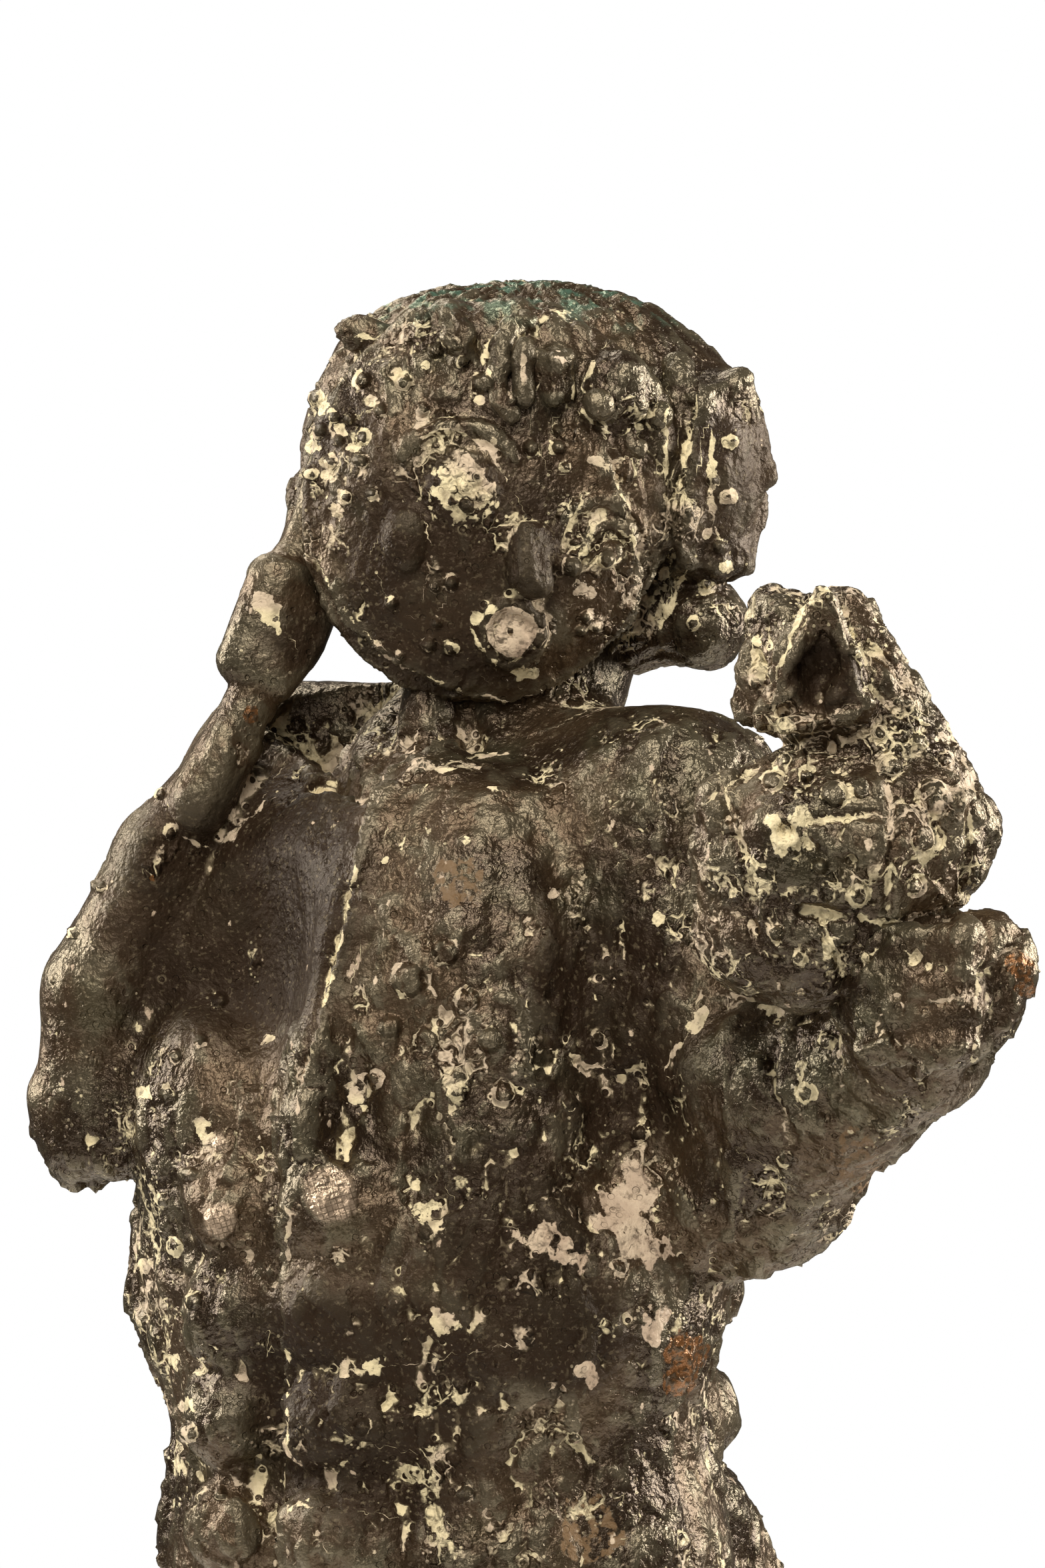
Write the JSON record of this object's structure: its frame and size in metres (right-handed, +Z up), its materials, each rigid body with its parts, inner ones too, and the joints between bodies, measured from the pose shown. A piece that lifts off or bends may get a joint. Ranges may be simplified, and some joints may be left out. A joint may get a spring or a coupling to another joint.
{
  "type": "bronze faun sculpture",
  "caption": "Standing bronze faun with a hand raised to its head and a lump held out in the other, cast on a low base.",
  "frame": {"origin": "centre of the base's underside", "axes": "+Z up along the figure, -Y towards the side that the picture shows, +X towards the held-out hand"},
  "size_m": [0.2604, 0.2399, 0.7698],
  "materials": {
    "bronze": "dark brown bronze patina with cream and green deposit in its hollows"
  },
  "bodies": {
    "root": {"faun_casting": "bronze"}
  },
  "joints": []
}
